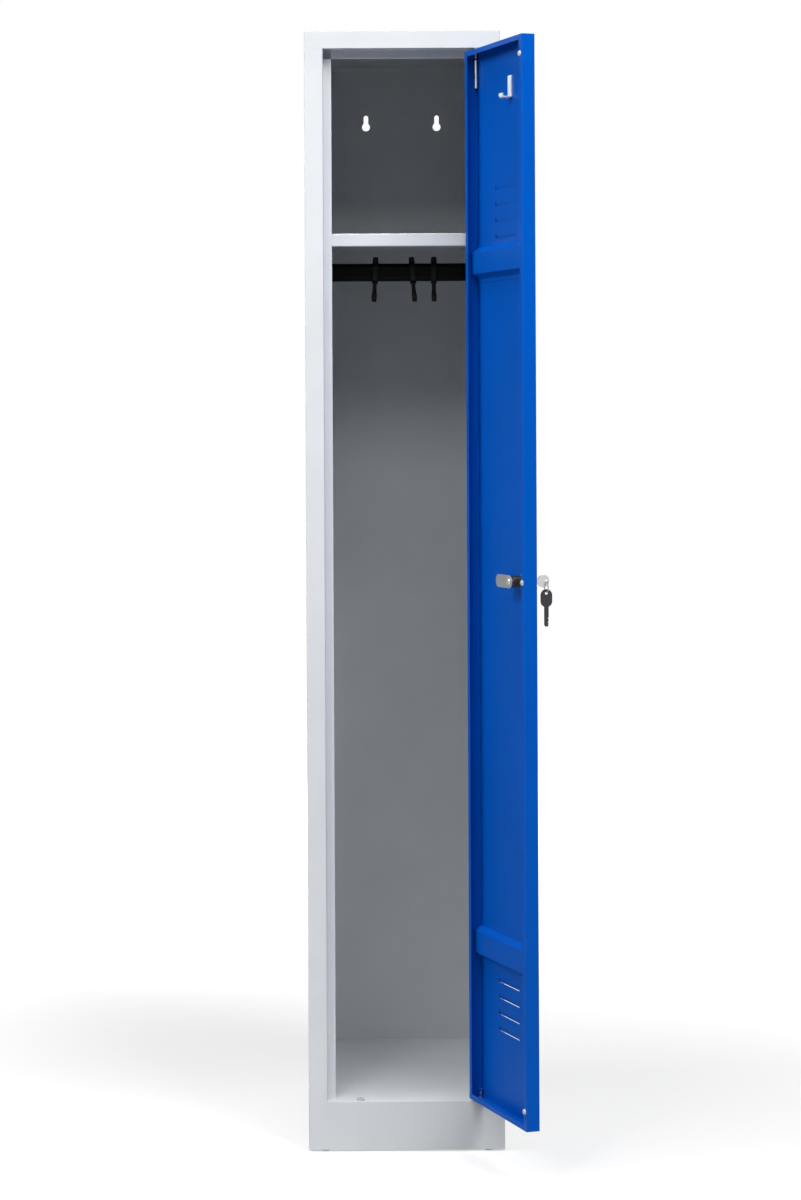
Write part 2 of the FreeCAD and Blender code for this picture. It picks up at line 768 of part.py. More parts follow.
# Door hook: a bent strip riveted inside the door near its head
door_hook = new_body("door_hook")
hook_x = pan_left + p.door_hook_inset
hook_out = skin_in + p.door_hook_reach
hook_low = door_high - p.door_hook_drop
strip = [
    (skin_in, hook_low + p.door_hook_height),
    (skin_in, hook_low),
    (hook_out, hook_low),
    (hook_out, hook_low + p.door_hook_tip),
]
strip_side = p.door_hook_width / 2
add(door_hook, "X", hook_x - strip_side, hook_x + strip_side, fold(strip, p.door_hook_gauge, p.bend))
hang_on_door(door_hook)

# Door buffers: soft discs on the free edge's lip that meet the stop lip
buffer_face = rim + (p.stop_setback - p.door_depth) - p.buffer_clearance
buffer_x = pan_left + p.buffer_edge
for label, level in (
    ("buffer_upper", door_high - p.buffer_end),
    ("buffer_middle", p.lock_level),
    ("buffer_lower", door_low + p.buffer_end),
):
    pad = new_body(label)
    add(pad, "Y", rim, buffer_face, polygon(buffer_x, level, p.buffer_width, PAD_SIDES))
    hang_on_door(pad)

# Hinge bushes: flanged sleeves in the lintel return and in the sill ledge
bore = p.pin_radius + p.running_clearance
upper_bush = new_body("upper_bush")
lintel_low = lintel_under - p.bush_flange_height
sleeve = circle(hinge_x, hinge_y, bush_radius)
flange = polygon(hinge_x, hinge_y, (bush_radius + p.bush_flange) * 2, FLANGE_SIDES)
pin_bore = circle(hinge_x, hinge_y, bore)
add(upper_bush, "Z", lintel_low, lintel_under, flange, pin_bore)
add(upper_bush, "Z", lintel_under, lintel_under + p.bush_depth, sleeve, pin_bore)
pieces.append(upper_bush)

lower_bush = new_body("lower_bush")
bush_top = sill + p.bush_flange_height
add(lower_bush, "Z", sill, bush_top, flange, pin_bore)
add(lower_bush, "Z", sill - p.bush_depth, sill, sleeve, pin_bore)
pieces.append(lower_bush)

# Hinge pins: the upper one has a barrel inside the door's corner, the lower one a collar that carries the
# door's weight
barrel_high = door_high - p.barrel_drop
barrel_low = barrel_high - p.barrel_length
upper_pin = new_body("upper_hinge_pin")
add(upper_pin, "Z", barrel_low, barrel_high, circle(0, 0, p.barrel_radius))
add(upper_pin, "Z", barrel_high, lintel_under + p.bush_depth, circle(0, 0, p.pin_radius))
hang_on_door(upper_pin)

lower_pin = new_body("lower_hinge_pin")
add(lower_pin, "Z", sill - p.bush_depth, door_low + p.lower_pin_rise, circle(0, 0, p.pin_radius))
add(lower_pin, "Z", bush_top + p.collar_gap, door_low, circle(0, 0, p.collar_radius))
hang_on_door(lower_pin)

# Hinge brackets: small angles on the rim that hold the pins' inner ends, rounded to sit in the pan's fold
rim_in = door_right - p.sheet
bracket_y = (-p.bracket_width / 2, p.bracket_width / 2)
bracket_toe = -(p.pin_radius + p.bracket_gauge)
in_the_fold = [None, p.bend, None, None]
lower_seat = door_low + p.lower_pin_rise - p.bracket_gauge
for label, seat, way in (("upper_hinge_bracket", barrel_high, 1), ("lower_hinge_bracket", lower_seat, -1)):
    bracket = new_body(label)
    shelf_top = seat + p.bracket_gauge
    leg_end = shelf_top if way < 0 else seat
    leg_far = leg_end - p.bracket_leg * way
    arm = [(bracket_toe, skin_in), (rim_in, skin_in), (rim_in, -skin_in), (bracket_toe, -skin_in)]
    add(bracket, "Z", seat, shelf_top, outline(arm, in_the_fold))
    leg_low, leg_high = (leg_far, leg_end) if way > 0 else (leg_end, leg_far)
    leg = [(p.barrel_radius, skin_in), (rim_in, skin_in), (rim_in, -skin_in), (p.barrel_radius, -skin_in)]
    add(bracket, "Z", leg_low, leg_high, outline(leg, in_the_fold))
    cut(bracket, "Z", seat, shelf_top, pin_hole)
    hang_on_door(bracket)

# Lock housing: a rosette outside the skin and a round body through it, bored for the plug
plug_bore = p.plug_radius + p.running_clearance
rosette_face = skin_out - p.rosette_height
housing_end = skin_out + p.lock_body
housing = new_body("lock_housing")
add(housing, "Y", rosette_face, skin_out, circle(lock_x, p.lock_level, p.rosette_radius))
add(housing, "Y", skin_out, housing_end, circle(lock_x, p.lock_level, p.lock_radius))
cut(housing, "Y", rosette_face, housing_end, circle(lock_x, p.lock_level, plug_bore))
hang_on_door(housing)

# Lock nut: a hexagon that clamps the housing to the skin from inside
nut = new_body("lock_nut")
hexagon = polygon(lock_x, p.lock_level, p.nut_flats, 6)
nut_bore = circle(lock_x, p.lock_level, p.lock_radius)
add(nut, "Y", skin_in, skin_in + p.nut_height, hexagon, nut_bore)
hang_on_door(nut)

# Lock plug: turns in the housing, with a keyway in front and a square tenon for the cam behind
cam_face = skin_out + p.stop_setback + p.sheet + p.cam_stop_gap
cam_rear = cam_face + p.cam_gauge
plug_face = rosette_face - p.plug_proud
key_end = plug_face + p.key_depth
tenon_half = p.tenon / 2
keyway_half = p.key_gauge / 2 + p.key_fit
blade_half = p.key_blade / 2
plug = new_body("lock_plug")
add(plug, "Y", plug_face, cam_face, circle(lock_x, p.lock_level, p.plug_radius))
square = rectangle(
    lock_x - tenon_half, lock_x + tenon_half, p.lock_level - tenon_half, p.lock_level + tenon_half
)
add(plug, "Y", cam_face, cam_rear, square)
keyway = rectangle(
    lock_x - keyway_half,
    lock_x + keyway_half,
    p.lock_level - blade_half - p.key_fit,
    p.lock_level + blade_half + p.key_fit,
)
cut(plug, "Y", plug_face, key_end + p.key_fit, keyway)
screw_end = cam_rear - p.cam_screw_length
screw_hole = circle(lock_x, p.lock_level, p.cam_screw_shank)
cut(plug, "Y", screw_end, cam_rear, screw_hole)
hang_on_door(plug)

# Cam: a round-ended plate on the tenon. Unlocked it points to the hinge side; half a turn takes it behind the
# left stop lip.
cam = new_body("lock_cam")
cam_tip = lock_x + p.cam_reach - p.cam_radius
add(cam, "Y", cam_face, cam_rear, slot((lock_x, p.lock_level), (cam_tip, p.lock_level), p.cam_radius), square)
hang_on_door(cam)

cam_screw = new_body("cam_screw")
add(cam_screw, "Y", screw_end, cam_rear, screw_hole)
cam_head = circle(lock_x, p.lock_level, p.cam_screw_radius)
add(cam_screw, "Y", cam_rear, cam_rear + p.cam_screw_height, cam_head)
hang_on_door(cam_screw)

# Key in the lock: an upright blade with its cuts below, and a round bow with its ring hole on the lock's axis
bow_y = skin_out - p.bow_reach
hole_y = bow_y - p.bow_hole_offset
key_half = p.key_gauge / 2
key_sides = (lock_x - key_half, lock_x + key_half)


def key_blade(length, at):
    """A pointed blade. at(along, across) is the point that far from its tip and in from its cut edge."""
    width, tip = p.key_blade, p.key_tip
    return outline([
        at(length, 0),
        at(length, width),
        at(tip, width),
        at(0, width - tip),
        at(0, tip),
        at(tip, 0),
    ])


def key_cuts(at):
    """The notches in a blade's cut edge."""
    notches = []
    for n, depth in enumerate((p.cut_1, p.cut_2, p.cut_3, p.cut_4)):
        middle = p.cut_start + p.cut_pitch * n
        side = p.cut_width / 2
        notches.append(outline([at(middle - side, 0), at(middle, depth), at(middle + side, 0)]))
    return notches


def in_lock(along, across):
    return key_end - along, p.lock_level - blade_half + across


key = new_body("key_in_lock")
add(key, "X", *key_sides, key_blade(key_end - bow_y, in_lock))
add(key, "X", *key_sides, circle(bow_y, p.lock_level, p.bow_radius))
cut(key, "X", *key_sides, circle(hole_y, p.lock_level, p.bow_hole_radius), *key_cuts(in_lock))
hang_on_door(key)

# Key ring: flat wire, hung in the bow's hole and square to the bow
hang = p.bow_hole_radius - p.ring_wire - p.ring_gap
ring_level = p.lock_level - hang - p.ring_radius
ring = new_body("key_ring")
ring_rims = [circle(lock_x, ring_level, p.ring_radius + p.ring_wire * side) for side in (1, -1)]
add(ring, "Y", hole_y - p.ring_wire, hole_y + p.ring_wire, *ring_rims)
hang_on_door(ring)

# Spare key: hangs face on from the ring, blade down
spare_hole = ring_level - p.ring_radius - hang
spare_top = spare_hole + p.spare_bow_above
spare_low = spare_top - p.spare_bow_height
spare_tip = spare_low - p.spare_blade
spare = new_body("spare_key")
bow_ends = ((hole_y, spare_low + p.spare_bow_radius), (hole_y, spare_top - p.spare_bow_radius))


def hanging(along, across):
    return hole_y - blade_half + across, spare_tip + along


add(spare, "X", *key_sides, slot(*bow_ends, p.spare_bow_radius))
add(spare, "X", *key_sides, key_blade(bow_ends[0][1] - spare_tip, hanging))
cut(spare, "X", *key_sides, circle(hole_y, spare_hole, p.bow_hole_radius), *key_cuts(hanging))
hang_on_door(spare)

doc.recompute()
faults = [item.Label for item in doc.Objects if {"Invalid", "Error"} & set(item.State)]
faults += [piece.Label for piece in pieces if piece.Shape.isNull() or not piece.Shape.isValid()]
if faults:
    raise RuntimeError(f"failed objects: {faults}")

os.makedirs("parts", exist_ok=True)
for piece in pieces:
    piece.Shape.exportStep(f"parts/{piece.Label}.step")
print(f"{len(pieces)} pieces, {sum(len(piece.Shape.Solids) for piece in pieces)} solids")
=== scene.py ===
"""Looks of a single-door steel clothes locker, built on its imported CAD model.

Frame as in the CAD, in metres: origin on the floor under the carcass's middle, +X right, +Y back, +Z up.
"""
import math

import bmesh
import bpy
import numpy as np
from mathutils import Matrix, Vector


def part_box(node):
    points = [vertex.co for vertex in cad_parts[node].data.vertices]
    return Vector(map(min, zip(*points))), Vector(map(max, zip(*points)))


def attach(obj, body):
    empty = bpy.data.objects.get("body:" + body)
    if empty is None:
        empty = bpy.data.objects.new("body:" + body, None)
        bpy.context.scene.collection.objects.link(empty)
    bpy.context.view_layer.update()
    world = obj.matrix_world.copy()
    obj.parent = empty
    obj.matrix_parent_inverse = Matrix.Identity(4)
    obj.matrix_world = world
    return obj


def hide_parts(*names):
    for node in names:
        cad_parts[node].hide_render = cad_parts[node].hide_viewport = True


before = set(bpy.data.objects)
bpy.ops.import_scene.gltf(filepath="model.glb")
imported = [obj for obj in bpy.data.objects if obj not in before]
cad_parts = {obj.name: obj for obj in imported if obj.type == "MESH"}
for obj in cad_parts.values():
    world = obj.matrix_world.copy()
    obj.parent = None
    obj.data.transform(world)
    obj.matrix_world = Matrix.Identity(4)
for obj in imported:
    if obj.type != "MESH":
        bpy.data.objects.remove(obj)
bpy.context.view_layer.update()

# Carcass
# Cold-rolled steel sheet about 1 mm thick, folded into sides, roof, plinth, floor and shelf and spot welded.
# It has one coat of light grey polyester powder, baked after welding, so seams and folds share one skin.
CARCASS = (
    "left_side", "right_side", "back_panel", "roof", "plinth_front", "plinth_rear", "floor_pan", "hat_shelf",
    "shelf_angle_left", "shelf_angle_right",
)
LIGHT_GREY = "#CBCED1"
FILM_PATCH_MM = 160.0
THIN_FILM, THICK_FILM = 0.955, 1.03
NOISE_LOW, NOISE_HIGH = 0.3, 0.7
ORANGE_PEEL_MM = 2.2
POWDER_GRAIN_MM, GRAIN_SHARE = 0.5, 0.25
FILM_RELIEF_MM, PEEL_STRENGTH = 0.4, 0.1
FILM_GLOSS_DRIFT = 0.05
WELD_MM = 0.01
FLAT_WITHIN_DEG = 1.0
EDGE_ROUND_MM = 0.35
EDGE_FROM_DEG = 35.0


def linear(code):
    """Turn an sRGB hex colour into linear RGBA: v/12.92 below 0.04045 and ((v+0.055)/1.055)^2.4 above."""
    values = [int(code[i:i + 2], 16) / 255 for i in (1, 3, 5)]
    return [v / 12.92 if v <= 0.04045 else ((v + 0.055) / 1.055) ** 2.4 for v in values] + [1.0]


def tint(code, share):
    """Linear RGBA of an sRGB hex colour with red, green and blue times a share, none of them past 1."""
    return [min(1.0, value * share) for value in linear(code)[:3]] + [1.0]


def put(tree, kind, inputs=None, **settings):
    """Add a node, set its properties, and set or link each named or numbered input."""
    made = tree.nodes.new(kind)
    for name, value in settings.items():
        setattr(made, name, value)
    for name, value in (inputs or {}).items():
        if isinstance(value, bpy.types.NodeSocket):
            tree.links.new(value, made.inputs[name])
        else:
            made.inputs[name].default_value = value
    return made


def bare_material(name):
    """A new material with its node tree, its shader and the piece's own coordinates in metres."""
    material = bpy.data.materials.new(name)
    material.use_nodes = True
    tree = material.node_tree
    place = put(tree, "ShaderNodeTexCoord").outputs["Object"]
    return material, tree, tree.nodes["Principled BSDF"], place


def powder_coat(name, colour, roughness=0.42, specular=0.3):
    """Baked powder paint: a satin, closed skin whose slow ripple (orange peel) breaks up soft reflections.

    The colour shifts a little over hand-sized patches, where the film is thicker or has been wiped.
    """
    material, tree, shader, place = bare_material(name)
    patches = put(tree, "ShaderNodeTexNoise", {"Vector": place, "Scale": 1000 / FILM_PATCH_MM, "Detail": 3.0,
                                               "Roughness": 0.55})
    shades = put(tree, "ShaderNodeValToRGB", {"Fac": patches.outputs["Fac"]})
    shades.color_ramp.elements[0].position = NOISE_LOW
    shades.color_ramp.elements[1].position = NOISE_HIGH
    shades.color_ramp.elements[0].color = tint(colour, THIN_FILM)
    shades.color_ramp.elements[1].color = tint(colour, THICK_FILM)
    ripple = put(tree, "ShaderNodeTexNoise", {"Vector": place, "Scale": 1000 / ORANGE_PEEL_MM, "Detail": 1.0})
    grain = put(tree, "ShaderNodeTexNoise", {"Vector": place, "Scale": 1000 / POWDER_GRAIN_MM, "Detail": 0.0})
    relief = put(tree, "ShaderNodeMath", {0: grain.outputs["Fac"], 1: GRAIN_SHARE, 2: ripple.outputs["Fac"]},
                 operation="MULTIPLY_ADD")
    bump = put(tree, "ShaderNodeBump", {"Height": relief.outputs[0], "Strength": PEEL_STRENGTH,
                                        "Distance": FILM_RELIEF_MM / 1000})
    gloss = put(tree, "ShaderNodeMapRange", {"Value": patches.outputs["Fac"],
                                             "To Min": roughness - FILM_GLOSS_DRIFT,
                                             "To Max": roughness + FILM_GLOSS_DRIFT})
    tree.links.new(shades.outputs["Color"], shader.inputs["Base Color"])
    tree.links.new(gloss.outputs["Result"], shader.inputs["Roughness"])
    tree.links.new(bump.outputs["Normal"], shader.inputs["Normal"])
    shader.inputs["Specular IOR Level"].default_value = specular
    return material


def finish_nodes(names, material, edge_mm=EDGE_ROUND_MM):
    """Give CAD nodes a material and round their edges, so that these catch a thin highlight.

    Loose triangles are welded and flat ones joined first, and large faces keep their flat shading.
    """
    for name in names:
        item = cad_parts[name]
        item.data.materials.clear()
        item.data.materials.append(material)
        weld = item.modifiers.new("join triangles", "WELD")
        weld.merge_threshold = WELD_MM / 1000
        flat = item.modifiers.new("join flat faces", "DECIMATE")
        flat.decimate_type = "DISSOLVE"
        flat.angle_limit = math.radians(FLAT_WITHIN_DEG)
        edge = item.modifiers.new("soft edges", "BEVEL")
        edge.width = edge_mm / 1000
        edge.segments = 2
        edge.limit_method = "ANGLE"
        edge.angle_limit = math.radians(EDGE_FROM_DEG)
        edge.harden_normals = True
        shading = item.modifiers.new("large faces stay flat", "WEIGHTED_NORMAL")
        shading.weight = 100


# A satin light grey: a broad soft sheen, no sharp reflection, and a slow shift of tone over a large panel.
grey_powder = powder_coat("light grey powder-coated steel", LIGHT_GREY)
finish_nodes(CARCASS, grey_powder)

# Feet, sill glide and hinge bushes
# Four feet of black moulded rubber, each a pad with a stem pushed up through the plinth. The low pad on the
# sill, which takes the closing door's weight, and the flanged bushes for its pins are grey moulded nylon.
FEET = ("foot_front_left", "foot_front_right", "foot_rear_left", "foot_rear_right")
RUBBER_BLACK = "#26272A"
NYLON_GREY = "#9EA2A5"
PAD_RADIUS_MM, PAD_HIGH_MM, PAD_ROUND_MM = 10.0, 3.0, 0.3
PAD_RIM_IN_MM, PAD_RIM_UP_MM = 0.6, 0.8
STEM_RADIUS_MM = 4.0
GLIDE_RADIUS_MM, GLIDE_RIM_MM, GLIDE_ROUND_MM = 6.5, 1.5, 0.7
BUSH_EDGE_MM = 0.2
SPARK_MM, SPARK_RELIEF_MM, SPARK_STRENGTH = 0.8, 0.3, 0.12
SPARK_GLOSS_DRIFT = 0.06
FLOW_MM = 20.0
FLOW_DARK, FLOW_LIGHT = 0.88, 1.1
POLYMER_IOR = 1.52
POLE_MERGE_MM = 0.001
NEARLY_UPRIGHT = 0.9


def moulded(name, colour, roughness, specular=0.5):
    """Moulded plastic or rubber: one colour through, with the fine even texture of a spark-eroded mould."""
    material, tree, shader, place = bare_material(name)
    spark = put(tree, "ShaderNodeTexNoise", {"Vector": place, "Scale": 1000 / SPARK_MM, "Detail": 2.0})
    flow = put(tree, "ShaderNodeTexNoise", {"Vector": place, "Scale": 1000 / FLOW_MM, "Detail": 1.0})
    shades = put(tree, "ShaderNodeValToRGB", {"Fac": flow.outputs["Fac"]})
    shades.color_ramp.elements[0].color = tint(colour, FLOW_DARK)
    shades.color_ramp.elements[1].color = tint(colour, FLOW_LIGHT)
    bump = put(tree, "ShaderNodeBump", {"Height": spark.outputs["Fac"], "Strength": SPARK_STRENGTH,
                                        "Distance": SPARK_RELIEF_MM / 1000})
    gloss = put(tree, "ShaderNodeMapRange", {"Value": spark.outputs["Fac"],
                                             "To Min": roughness - SPARK_GLOSS_DRIFT,
                                             "To Max": roughness + SPARK_GLOSS_DRIFT})
    tree.links.new(shades.outputs["Color"], shader.inputs["Base Color"])
    tree.links.new(gloss.outputs["Result"], shader.inputs["Roughness"])
    tree.links.new(bump.outputs["Normal"], shader.inputs["Normal"])
    shader.inputs["IOR"].default_value = POLYMER_IOR
    shader.inputs["Specular IOR Level"].default_value = specular
    return material


def surface(name, patches, body, node):
    """Join grids of points into one smooth piece that rides on a body and stands for a CAD node.

    Each patch is a grid and its material. Neighbours make a quad, rows close on themselves, and faces turn
    outward by the sign of the patch's volume. Points that meet at a pole or seam become one.
    """
    points, quads, kinds, materials, start = [], [], [], [], 0
    for grid, material in patches:
        rows, columns = grid.shape[:2]
        index = np.arange(rows * columns).reshape(rows, columns)
        index = np.concatenate([index, index[:, :1]], axis=1)
        corners = (index[:-1, :-1], index[:-1, 1:], index[1:, 1:], index[1:, :-1])
        faces = np.stack(corners, axis=-1).reshape(-1, 4)
        flat = grid.reshape(-1, 3)
        a, b, c, d = (flat[faces[:, n]] for n in range(4))
        volume = np.sum((a - flat.mean(0)) * np.cross(c - a, d - b))
        if material not in materials:
            materials.append(material)
        points.append(flat)
        quads.append(start + (faces if volume > 0 else faces[:, ::-1]))
        kinds.append(np.full(len(faces), materials.index(material)))
        start += len(flat)
    mesh = bpy.data.meshes.new(name)
    mesh.from_pydata(np.concatenate(points).tolist(), [], np.concatenate(quads).tolist())
    for material in materials:
        mesh.materials.append(material)
    mesh.polygons.foreach_set("material_index", np.concatenate(kinds))
    mesh.polygons.foreach_set("use_smooth", np.ones(len(mesh.polygons), bool))
    shell = bmesh.new()
    shell.from_mesh(mesh)
    bmesh.ops.remove_doubles(shell, verts=shell.verts, dist=POLE_MERGE_MM / 1000)
    shell.to_mesh(mesh)
    shell.free()
    item = bpy.data.objects.new(name, mesh)
    bpy.context.scene.collection.objects.link(item)
    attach(item, body)
    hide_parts(node)


def soften(corners, cut, steps=6):
    """Round an open outline: a corner becomes a quadratic curve from a cut before it to a cut after it."""
    corners = np.array(corners, float)
    here = corners[1:-1]
    back, ahead = corners[:-2] - here, corners[2:] - here
    start = here + back / np.linalg.norm(back, axis=1, keepdims=True) * cut
    end = here + ahead / np.linalg.norm(ahead, axis=1, keepdims=True) * cut
    t = np.linspace(0, 1, steps)[None, :, None]
    curve = start[:, None] * (1 - t) ** 2 + here[:, None] * 2 * t * (1 - t) + end[:, None] * t ** 2
    return np.concatenate([corners[:1], curve.reshape(-1, corners.shape[1]), corners[-1:]])


def lathe(profile, centre, axis, count=64):
    """Turn a profile in mm about an axis: centre + height * axis + radius * a unit vector turned round it."""
    axis = np.array(axis, float)
    side = np.cross(axis, (1.0, 0.0, 0.0) if abs(axis[2]) > NEARLY_UPRIGHT else (0.0, 0.0, 1.0))
    side /= np.linalg.norm(side)
    angle = np.linspace(0, 2 * np.pi, count, endpoint=False)[:, None]
    ring = np.cos(angle) * side + np.sin(angle) * np.cross(axis, side)
    radius, height = np.array(profile).T[:, :, None, None] / 1000
    return np.array(centre) + height * axis + radius * ring


def standing(node):
    """Middle of a CAD node's underside in metres, and its height in mm."""
    low, high = (np.array(corner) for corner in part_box(node))
    return (*(low + high)[:2] / 2, low[2]), (high[2] - low[2]) * 1000


# A dull black that takes in light, with a faint sheen round the rim.
rubber = moulded("black moulded rubber", RUBBER_BLACK, roughness=0.7)
for node in FEET:
    underside, stem = standing(node)
    pad = soften([(0, 0), (PAD_RADIUS_MM - PAD_RIM_IN_MM, 0), (PAD_RADIUS_MM, PAD_RIM_UP_MM),
                  (PAD_RADIUS_MM, PAD_HIGH_MM), (STEM_RADIUS_MM, PAD_HIGH_MM), (STEM_RADIUS_MM, stem),
                  (0, stem)], PAD_ROUND_MM)
    surface("round_" + node, [(lathe(pad, underside, (0, 0, 1)), rubber)], "carcass", node)
# A waxy middle grey with a soft spot of light on the dome.
grey_nylon = moulded("grey moulded nylon", NYLON_GREY, roughness=0.5)
underside, rise = standing("sill_glide")
dome = soften([(0, 0), (GLIDE_RADIUS_MM, 0), (GLIDE_RADIUS_MM, rise - GLIDE_RIM_MM),
               (GLIDE_RADIUS_MM - GLIDE_RIM_MM, rise), (0, rise)], GLIDE_ROUND_MM)
surface("domed_sill_glide", [(lathe(dome, underside, (0, 0, 1)), grey_nylon)],
        "carcass", "sill_glide")
finish_nodes(("upper_bush", "lower_bush"), grey_nylon, BUSH_EDGE_MM)

# Coat rail and hooks
# An oval steel tube with black powder paint, pushed into black nylon sockets on the side walls. Three hooks
# of black nylon, each moulded as a loop with a crown on top and a J below, slide along it.
RAIL_BLACK = "#080808"
HOOK_BLACK = "#0B0B0C"
SOCKET_EDGE_MM = 0.5
LOOP_RADIUS_MM, LOOP_SHIFT_MM, HALF_LOOP_POINTS = 10.1, 7.5, 24
CROWN_FOOT_MM, CROWN_MIDDLE_MM, CROWN_TOP_MM, CROWN_ROUND_MM = 17.6, 22.0, 26.1, 0.5
SHANK_TOP_MM, SHANK_MIDDLE_MM, SHANK_FOOT_MM = -17.0, -30.0, -46.5
TIP_OUT_MM, TIP_TOP_MM, BEND_MM, BEND_STEPS = -17.0, -36.0, 6.0, 10
LOOP_HALF_MM, CROWN_HALF_MM, JAY_HALF_MM = (5.0, 2.0), (5.0, 4.5), (3.1, 3.5)
CROWN_WIDEN, JAY_WIDEN = -0.15, 0.45
CAP_SHARE = 0.5
CAP_SHRINK = np.array([0.0, 0.6, 0.9, 1.0])
CAP_INSET = np.array([0.0, 0.06, 0.4, 1.0])
# Each hook's side, its place along the rail in mm and its tilt in degrees.
HOOKS = (("left", -46.0, 2.5), ("middle", 17.0, -4.0), ("right", 53.0, 0.0))
# Nearly black with a weak sheen, so that the rail shows as one dark band.
rail_powder = powder_coat("black powder-coated steel", RAIL_BLACK, roughness=0.5, specular=0.08)
finish_nodes(("coat_rail",), rail_powder)
# A deep black with a soft line of light along each rounded edge.
black_nylon = moulded("black moulded nylon", HOOK_BLACK, roughness=0.5, specular=0.15)
finish_nodes(("rail_socket_left", "rail_socket_right"), black_nylon, SOCKET_EDGE_MM)


def sweep(path, across, half_wide, half_high, closed=False, widen=0.0, power=5, count=32):
    """Carry a rounded rectangle, |a/wide|^power + |b/high|^power = 1, along a path. Sizes in metres.

    One side of it keeps the direction across, widening evenly along the path, and the other is square to
    that and to the path. An open path gets a rounded cap at each end, and a closed one ends on its first row.
    """
    path = np.concatenate([path[-1:], path, path[:1]]) if closed else path
    ahead = np.gradient(path, axis=0)
    ahead /= np.linalg.norm(ahead, axis=1, keepdims=True)
    if closed:
        path, ahead = path[1:-1], ahead[1:-1]
    else:
        rows = len(CAP_SHRINK)
        inset = min(half_wide, half_high) * CAP_SHARE * CAP_INSET[:, None]
        first, last = path[:1] + ahead[:1] * inset, path[-1:] - ahead[-1:] * inset
        path = np.concatenate([first, path[1:-1], last[::-1]])
        ahead = np.concatenate([ahead[[0] * rows], ahead[1:-1], ahead[[-1] * rows]])
        scale = np.concatenate([CAP_SHRINK, np.ones(len(path) - 2 * rows), CAP_SHRINK[::-1]])[:, None, None]
    square = np.cross(ahead, across)
    angle = np.linspace(0, 2 * np.pi, count, endpoint=False)
    a, b = np.cos(angle), np.sin(angle)
    a = (half_wide * np.sign(a) * np.abs(a) ** (2 / power))[None, :, None]
    b = (half_high * np.sign(b) * np.abs(b) ** (2 / power))[None, :, None]
    growth = 1 + widen * np.linspace(0, 1, len(path))[:, None, None]
    section = growth * a * np.array(across, float) + b * square[:, None]
    grid = path[:, None] + (section if closed else section * scale)
    return np.concatenate([grid, grid[:1]]) if closed else grid


def coat_hook(place, tilt_deg):
    """Loop round the rail, a crown on top and a J below, as sweeps in the rail's cross-section.

    The loop is two half circles shifted up and down from the rail's middle. The whole is tilted and placed.
    """
    turn = np.linspace(-np.pi, 0, HALF_LOOP_POINTS)
    half = HALF_LOOP_POINTS // 2
    lower = np.stack([LOOP_RADIUS_MM * np.cos(turn), LOOP_RADIUS_MM * np.sin(turn) - LOOP_SHIFT_MM], axis=1)
    loop = np.concatenate([lower[half:], -lower, lower[:half]])
    crown = soften([(0, CROWN_FOOT_MM), (0, CROWN_MIDDLE_MM), (0, CROWN_TOP_MM)], CROWN_ROUND_MM)
    jay = soften([(0, SHANK_TOP_MM), (0, SHANK_MIDDLE_MM), (0, SHANK_FOOT_MM), (TIP_OUT_MM, SHANK_FOOT_MM),
                  (TIP_OUT_MM, TIP_TOP_MM)], BEND_MM, BEND_STEPS)
    lean = np.radians(tilt_deg)
    basis = np.array([[0.0, 1.0, 0.0], [np.sin(lean), 0.0, np.cos(lean)]])
    across = (np.cos(lean), 0.0, -np.sin(lean))
    shapes = ((loop, LOOP_HALF_MM, True, 0.0), (crown, CROWN_HALF_MM, False, CROWN_WIDEN),
              (jay, JAY_HALF_MM, False, JAY_WIDEN))
    return [sweep(np.array(place) + line / 1000 @ basis, across, wide / 1000, high / 1000, closed, widen)
            for line, (wide, high), closed, widen in shapes]


rail_low, rail_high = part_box("coat_rail")
rail_level = (rail_low.z + rail_high.z) / 2
for hand, along_mm, tilt_deg in HOOKS:
    grids = coat_hook((along_mm / 1000, 0.0, rail_level), tilt_deg)
    surface("moulded_hook_" + hand, [(grid, black_nylon) for grid in grids], "hook_" + hand,
            "coat_hook_" + hand)

# Door
# One sheet folded into a pan with a rim and lip all round, louvres pressed at the head and foot, and two
# shallow channels welded inside. It is powder coated in a strong blue, and the hinge brackets with it.
DOOR = ("door_pan", "upper_channel", "lower_channel", "upper_hinge_bracket", "lower_hinge_bracket")
DOOR_BLUE = "#0052B4"
# A strong, even blue with a weak sheen, so that it stays deep where light grazes it.
blue_powder = powder_coat("blue powder-coated steel", DOOR_BLUE, roughness=0.4, specular=0.07)
finish_nodes(DOOR, blue_powder)

# Door buffers
# Soft domes of clear polyurethane, cast in a mould and stuck to the door's lip by their flat backs. They
# deaden the door against the frame.
# The open door's directions: out of its inner face, along its width toward the hinge, and up.
DOOR_OPEN = math.radians(109.0)
DOOR_IN = np.array((-math.sin(DOOR_OPEN), math.cos(DOOR_OPEN), 0.0))
DOOR_ALONG = np.array((math.cos(DOOR_OPEN), math.sin(DOOR_OPEN), 0.0))
UP = np.array((0.0, 0.0, 1.0))
BUFFER_CLEAR = "#D5DCE2"
BUFFER_CLEARNESS = 0.55
BUFFER_FOOT_MM, BUFFER_SHOULDER_MM, BUFFER_TOP_MM = 4.5, 4.4, 3.2
SHOULDER_SHARE = 0.45
BUFFER_ROUND_MM, BUFFER_ROUND_SHARE = 0.6, 0.2


def spans(node, *axes):
    """Lowest and highest place of a CAD node's points along each direction, in metres."""
    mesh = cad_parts[node].data
    points = np.empty(len(mesh.vertices) * 3)
    mesh.vertices.foreach_get("co", points)
    along = points.reshape(-1, 3) @ np.array(axes, float).T
    return along.min(0), along.max(0)


def on_door(node):
    """Middle of the end of a door piece that is nearest the skin, in metres, and its height in mm."""
    low, high = spans(node, DOOR_IN, DOOR_ALONG, UP)
    middle = (low + high) / 2
    return low[0] * DOOR_IN + middle[1] * DOOR_ALONG + middle[2] * UP, (high[0] - low[0]) * 1000


